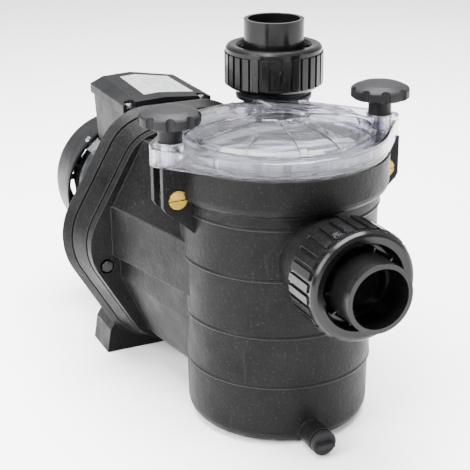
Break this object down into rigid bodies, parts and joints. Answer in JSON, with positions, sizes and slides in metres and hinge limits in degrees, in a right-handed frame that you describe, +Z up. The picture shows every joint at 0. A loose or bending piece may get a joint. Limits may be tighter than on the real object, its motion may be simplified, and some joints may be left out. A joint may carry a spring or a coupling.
{
  "type": "pool pump",
  "caption": "Self-priming pool pump: strainer pot under a clear domed lid with hand knobs, ribbed pipe unions, bolted volute flange and a fan-cooled motor with a terminal box.",
  "frame": {"origin": "centre of the strainer pot's flat underside, on the ground plane", "axes": "+X out of the suction port, +Z up, so the motor lies towards -X"},
  "size_m": [0.519, 0.2783, 0.3325],
  "materials": {
    "body_plastic": "fine textured",
    "union_plastic": "glossy",
    "knob_plastic": "satin",
    "clear_plastic": "clear, polished",
    "basket_plastic": "satin",
    "inner_plastic": "satin",
    "motor_paint": "satin",
    "cast_aluminium": "as cast",
    "steel": "satin",
    "black_steel": "blackened",
    "brass": "polished",
    "rubber": "matte",
    "ceramic": "fine ground",
    "carbon": "matte",
    "silicon_steel": "laminated",
    "copper": "enamelled",
    "label_paper": "satin",
    "terminal_resin": "satin"
  },
  "bodies": {
    "pump": {"strainer_pot": "body_plastic", "lid_ears": "body_plastic", "volute_casing": "body_plastic", "discharge_neck": "body_plastic", "suction_neck": "body_plastic", "seal_plate": "body_plastic", "motor_bracket": "body_plastic", "body_seal": "rubber", "flange_bolts": "steel", "flange_nuts": "black_steel", "diffuser": "inner_plastic", "seal_seat": "ceramic", "drain_plug_seal": "rubber", "lid_seal": "rubber", "suction_union_tail": "union_plastic", "suction_union_seal": "rubber", "discharge_union_tail": "union_plastic", "discharge_union_seal": "rubber", "barrel_nuts": "brass", "motor_housing": "cast_aluminium", "shield_screws": "steel", "front_end_shield": "cast_aluminium", "rear_end_shield": "cast_aluminium", "front_bearing": "steel", "rear_bearing": "steel", "stator_core": "silicon_steel", "stator_windings": "copper", "fan_cover": "motor_paint", "cowl_screws": "steel", "bracket_bolts": "steel", "motor_foot": "body_plastic", "foot_screws": "steel", "terminal_box": "motor_paint", "terminal_box_lid": "motor_paint", "terminal_box_gasket": "rubber", "terminal_lid_screws": "steel", "rating_plate": "label_paper", "terminal_block": "terminal_resin", "run_capacitor": "terminal_resin", "cable_gland": "knob_plastic", "gland_nut": "knob_plastic"},
    "rotor": {"motor_shaft": "steel", "rotor_core": "silicon_steel", "cooling_fan": "inner_plastic", "impeller": "inner_plastic", "impeller_nut": "brass", "seal_head": "carbon", "seal_spring": "steel", "water_slinger": "rubber"},
    "suction_nut": {"suction_union_nut": "union_plastic"},
    "discharge_nut": {"discharge_union_nut": "union_plastic"},
    "lid": {"strainer_lid": "clear_plastic", "knob_washers": "steel"},
    "knob_left": {"lid_knob_left": "knob_plastic", "knob_stud_left": "steel"},
    "knob_right": {"lid_knob_right": "knob_plastic", "knob_stud_right": "steel"},
    "basket": {"strainer_basket": "basket_plastic"},
    "drain_plug": {"drain_plug": "knob_plastic"}
  },
  "joints": [
    {"name": "rotor_spin", "type": "hinge", "parent": "pump", "child": "rotor", "pos_m": [-0.22, -0.034, 0.132], "axis": [1, 0, 0], "continuous": true},
    {"name": "suction_nut_turn", "type": "hinge", "parent": "pump", "child": "suction_nut", "pos_m": [0.129, 0, 0.1745], "axis": [1, 0, 0], "continuous": true},
    {"name": "discharge_nut_turn", "type": "hinge", "parent": "pump", "child": "discharge_nut", "pos_m": [-0.132, 0.0603, 0.2855], "axis": [0, 0, 1], "continuous": true},
    {"name": "lid_lift", "type": "slide", "parent": "pump", "child": "lid", "axis": [0, 0, 1], "range_m": [0, 0.3]},
    {"name": "knob_left_turn", "type": "hinge", "parent": "lid", "child": "knob_left", "pos_m": [0, -0.1005, 0.28], "axis": [0, 0, 1], "continuous": true},
    {"name": "knob_right_turn", "type": "hinge", "parent": "lid", "child": "knob_right", "pos_m": [0, 0.1005, 0.28], "axis": [0, 0, 1], "continuous": true},
    {"name": "basket_lift", "type": "slide", "parent": "pump", "child": "basket", "axis": [0, 0, 1], "range_m": [0, 0.24]},
    {"name": "drain_plug_turn", "type": "hinge", "parent": "pump", "child": "drain_plug", "pos_m": [0.105, -0.007, 0.012], "axis": [1, 0, 0], "continuous": true}
  ],
  "couplings": [
    {"joint": "basket_lift", "follows": "lid_lift", "ratio": 0.8}
  ]
}
